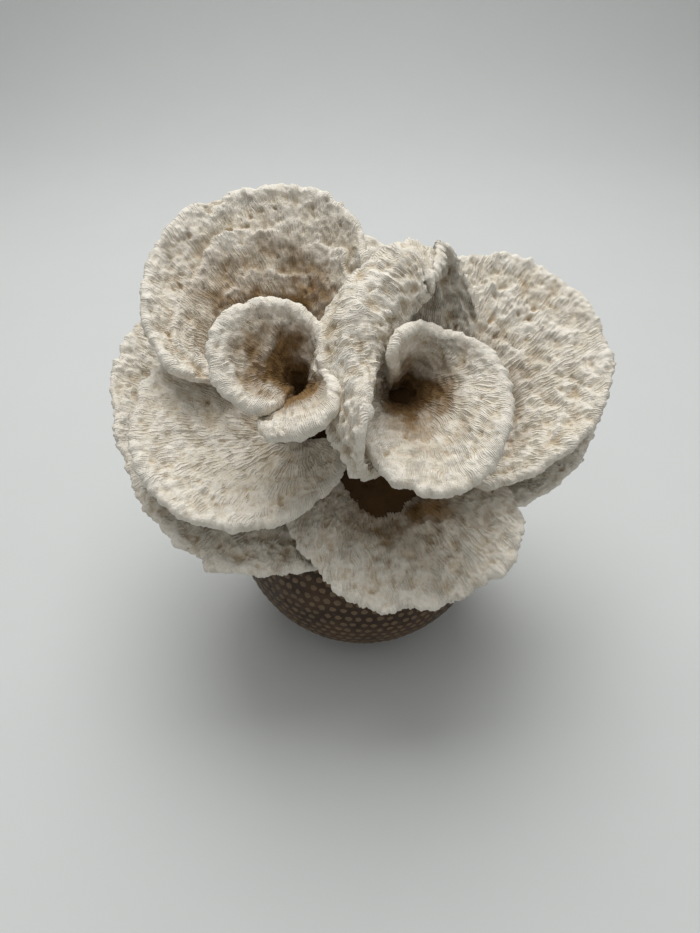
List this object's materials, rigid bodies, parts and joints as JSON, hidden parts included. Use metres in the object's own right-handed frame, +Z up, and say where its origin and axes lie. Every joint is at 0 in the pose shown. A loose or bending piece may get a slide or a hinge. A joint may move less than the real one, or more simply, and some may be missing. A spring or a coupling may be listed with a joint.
{
  "type": "scroll plate coral in a pot",
  "caption": "Stony coral of broad ruffled plates and rolled cups round a forked stem, standing in a rounded stoneware pot with rows of raised dots.",
  "frame": {"origin": "middle of the pot's foot, on the surface it stands on", "axes": "+Z up, +X to the right and -Y to the front of the coral, where the two cups open"},
  "size_m": [0.2495, 0.1946, 0.2197],
  "materials": {
    "stoneware": "satin brown glaze with raised pale dots",
    "coral": "matt warm white, finely ridged and pitted"
  },
  "bodies": {
    "root": {"pot": "stoneware", "stem": "coral", "back_left_plate": "coral", "left_front_plate": "coral", "left_low_plate": "coral", "small_cup": "coral", "right_back_plate": "coral", "centre_curl": "coral", "large_cup": "coral", "right_low_plate": "coral", "front_plate": "coral", "back_plate": "coral"}
  },
  "joints": []
}
